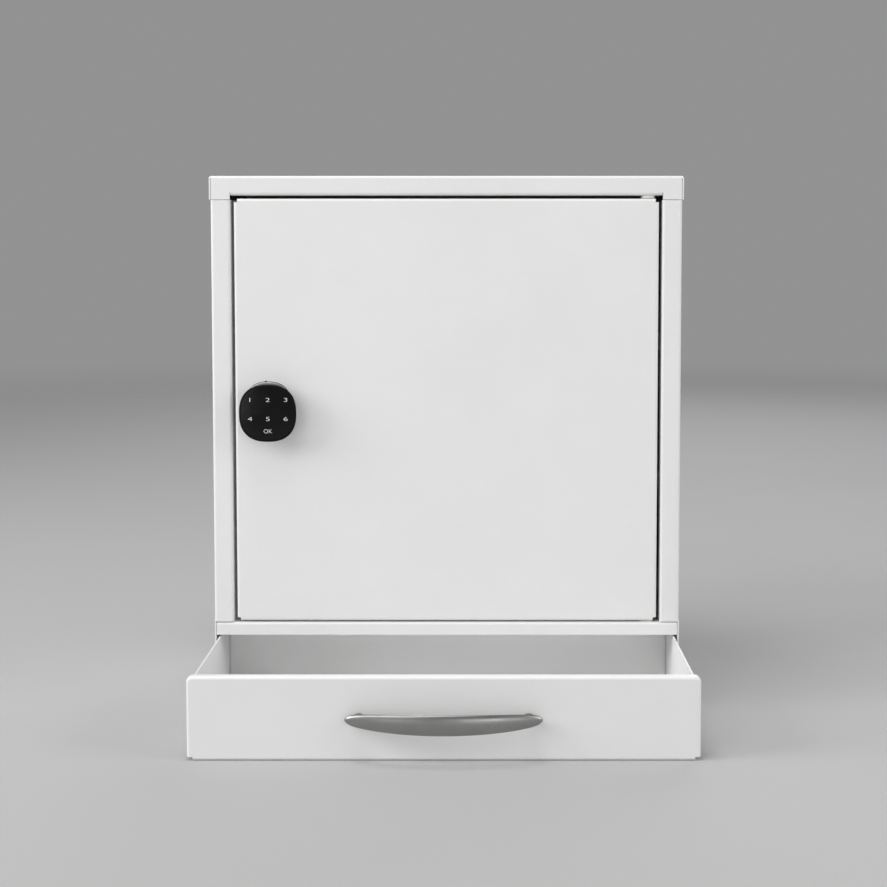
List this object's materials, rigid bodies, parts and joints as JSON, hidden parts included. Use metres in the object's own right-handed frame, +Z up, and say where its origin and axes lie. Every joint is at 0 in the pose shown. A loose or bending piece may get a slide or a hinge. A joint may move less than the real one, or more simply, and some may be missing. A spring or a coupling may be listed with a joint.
{
  "type": "lockable medicine cabinet",
  "caption": "Wall-hung sheet steel medicine cabinet with a keypad-locked hinged door, inner shelves and an open-topped drawer below.",
  "frame": {"origin": "centre of the four wall holes, on the back face of the cabinet", "axes": "+X to the right as seen from the front, +Y back into the wall along the wall holes, +Z up"},
  "size_m": [0.4024, 0.364, 0.459],
  "materials": {
    "white_powder_coat": "satin powder coat",
    "zinc_steel": "zinc plated",
    "white_nylon": "matte",
    "black_rubber": "matte",
    "black_plastic": "satin",
    "touch_glass": "gloss",
    "satin_ring": "satin",
    "circuit_board": "solder mask",
    "cell_steel": "bright",
    "satin_nickel": "satin"
  },
  "bodies": {
    "cabinet": {"side_panel_left": "white_powder_coat", "side_panel_right": "white_powder_coat", "top_cap": "white_powder_coat", "back_panel": "white_powder_coat", "floor_panel": "white_powder_coat", "bottom_panel": "white_powder_coat", "drawer_runner_left": "white_nylon", "drawer_runner_right": "white_nylon", "shelf_strip_left_front": "white_powder_coat", "shelf_strip_left_rear": "white_powder_coat", "shelf_strip_right_front": "white_powder_coat", "shelf_strip_right_rear": "white_powder_coat", "shelf_lower": "white_powder_coat", "shelf_upper": "white_powder_coat", "shelf_clips": "zinc_steel", "door_buffers": "black_rubber", "hinge_bush_top": "white_nylon", "hinge_bush_bottom": "white_nylon"},
    "door": {"door_panel": "white_powder_coat", "hinge_pin_top": "zinc_steel", "hinge_pin_bottom": "zinc_steel", "hinge_clip": "zinc_steel", "lock_ring": "satin_ring", "lock_barrel": "zinc_steel", "lock_nut": "zinc_steel"},
    "lock_knob": {"knob_housing": "black_plastic", "knob_face": "touch_glass", "circuit_board": "circuit_board", "coin_cells": "cell_steel", "clutch_motor": "cell_steel", "lock_spindle": "zinc_steel", "lock_cam": "zinc_steel", "cam_screw": "zinc_steel"},
    "drawer": {"drawer_tray": "white_powder_coat", "drawer_back": "white_powder_coat", "drawer_front": "white_powder_coat", "drawer_handle": "satin_nickel", "handle_screws": "zinc_steel"}
  },
  "joints": [
    {"name": "door_hinge", "type": "hinge", "parent": "cabinet", "child": "door", "pos_m": [0.1714, -0.193, 0], "axis": [0, 0, 1], "range_deg": [0, 110]},
    {"name": "lock_turn", "type": "hinge", "parent": "door", "child": "lock_knob", "pos_m": [-0.1509, -0.2, -0.00535], "axis": [0, 1, 0], "range_deg": [0, 90]},
    {"name": "drawer_slide", "type": "slide", "parent": "cabinet", "child": "drawer", "axis": [0, -1, 0], "range_m": [-0.1326, 0.01]}
  ]
}
